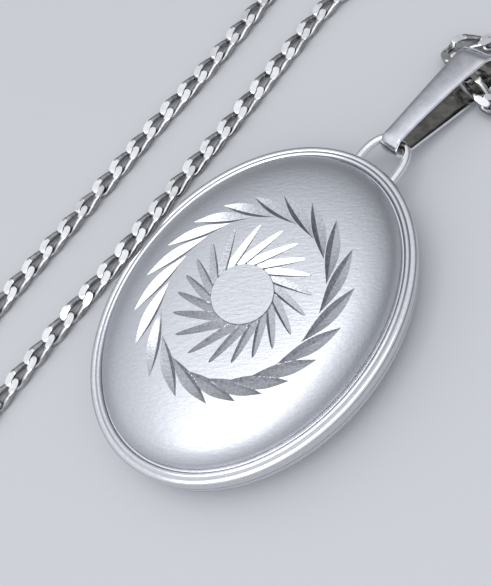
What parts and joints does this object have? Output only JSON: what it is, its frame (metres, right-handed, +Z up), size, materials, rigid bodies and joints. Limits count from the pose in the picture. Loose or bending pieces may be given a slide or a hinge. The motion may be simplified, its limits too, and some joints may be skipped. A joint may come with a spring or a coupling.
{
  "type": "locket",
  "caption": "Oval hinged locket with a domed satin front cover engraved with leaves, a tapered bail and a fine curb chain.",
  "frame": {"origin": "the middle of the flat on the back cover, which rests on the table", "axes": "+Z up through the front cover, +Y along the oval towards the bail, +X away from the hinge"},
  "size_m": [0.0296, 0.0751, 0.006],
  "materials": {
    "satin_silver": "fine satin silver with bright-cut engraving",
    "polished_silver": "polished silver with fine wear scratches",
    "bail_silver": "polished silver strap",
    "chain_silver": "bright polished silver",
    "frame_silver": "thin pressed silver, lightly brushed",
    "clear_sheet": "clear acetate sheet",
    "card": "plain off-white card",
    "spring_steel": "fine drawn spring wire"
  },
  "bodies": {
    "back_half": {"back_shell": "polished_silver", "back_rim": "polished_silver", "back_photo_frame": "frame_silver", "back_window": "clear_sheet", "back_photo_card": "card", "hinge_knuckle_back_lower": "polished_silver", "hinge_knuckle_back_upper": "polished_silver", "hinge_pin": "polished_silver", "catch_tongue": "frame_silver", "bail_loop": "polished_silver", "chain_at_bail": "chain_silver", "chain_strands": "chain_silver", "chain_tail": "chain_silver", "chain_coil": "chain_silver", "clasp_body": "chain_silver", "clasp_spring": "spring_steel", "clasp_eye_ring": "chain_silver", "end_ring": "chain_silver"},
    "front_cover": {"front_shell": "satin_silver", "front_rim": "polished_silver", "front_photo_frame": "frame_silver", "front_window": "clear_sheet", "front_photo_card": "card", "hinge_knuckle_front": "polished_silver", "catch_keeper": "frame_silver"},
    "bail": {"bail": "bail_silver"},
    "clasp_bolt": {"clasp_bolt": "chain_silver"}
  },
  "joints": [
    {"name": "cover_hinge", "type": "hinge", "parent": "back_half", "child": "front_cover", "pos_m": [-0.0093, 0, 0.00305], "axis": [0, -1, 0], "range_deg": [0, 160]},
    {"name": "bail_swing", "type": "hinge", "parent": "back_half", "child": "bail", "pos_m": [0.0003, 0.0157, 0.00255], "axis": [1, 0, 0], "range_deg": [0, 30], "deforming": ["chain_at_bail"]},
    {"name": "bolt_slide", "type": "hinge", "parent": "back_half", "child": "clasp_bolt", "pos_m": [0.007, 0.0342, 0.001], "axis": [0, 0, 1], "range_deg": [0, 40], "stiffness_Nm_per_rad": 0.0005, "springref_deg": -17.19, "deforming": ["clasp_spring"]}
  ]
}
